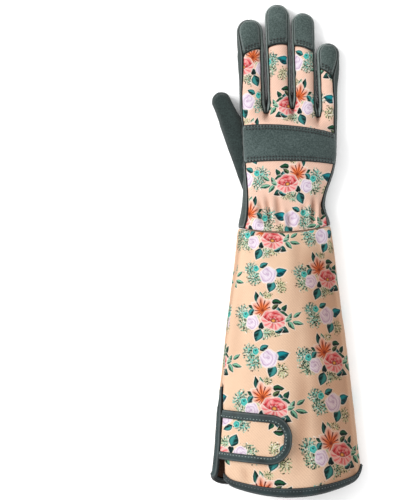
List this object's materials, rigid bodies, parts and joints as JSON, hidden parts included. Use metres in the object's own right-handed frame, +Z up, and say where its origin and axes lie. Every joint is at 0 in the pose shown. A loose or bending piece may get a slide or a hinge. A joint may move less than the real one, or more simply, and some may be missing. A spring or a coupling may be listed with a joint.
{
  "type": "pruning gauntlet glove",
  "caption": "Long printed gauntlet glove with suede palm, knuckle band and finger caps, touch tips and a strap that closes a slit in its cuff.",
  "frame": {"origin": "on the floor, under the middle of the glove's box", "axes": "+Y along the glove, from the cuff's hem towards the fingertips; +Z up, out of the back of the hand; +X towards the little finger"},
  "size_m": [0.1482, 0.479, 0.0496],
  "materials": {
    "floral_cloth": "twill printed with bouquets of flowers on a peach ground",
    "grey_suede": "soft synthetic suede, grey green",
    "black_suede": "soft black suede for touch screens",
    "dark_tape": "dark slate binding tape with pale stitches",
    "hook_tape": "hook-and-loop tape"
  },
  "bodies": {
    "root": {"cuff": "floral_cloth", "hand_back": "floral_cloth", "strap": "floral_cloth", "knuckle_band": "grey_suede", "cap_index": "grey_suede", "cap_middle": "grey_suede", "cap_ring": "grey_suede", "cap_little": "grey_suede", "forchette_index": "grey_suede", "forchette_middle": "grey_suede", "forchette_ring": "grey_suede", "palm": "grey_suede", "palm_pad": "grey_suede", "thumb_back": "grey_suede", "thumb_front": "grey_suede", "tip_patch_ring": "grey_suede", "tip_patch_little": "grey_suede", "touch_tip_index": "black_suede", "touch_tip_middle": "black_suede", "touch_tip_thumb": "black_suede", "hem_binding": "dark_tape", "strap_binding": "dark_tape", "hook_patch": "hook_tape"}
  },
  "joints": []
}
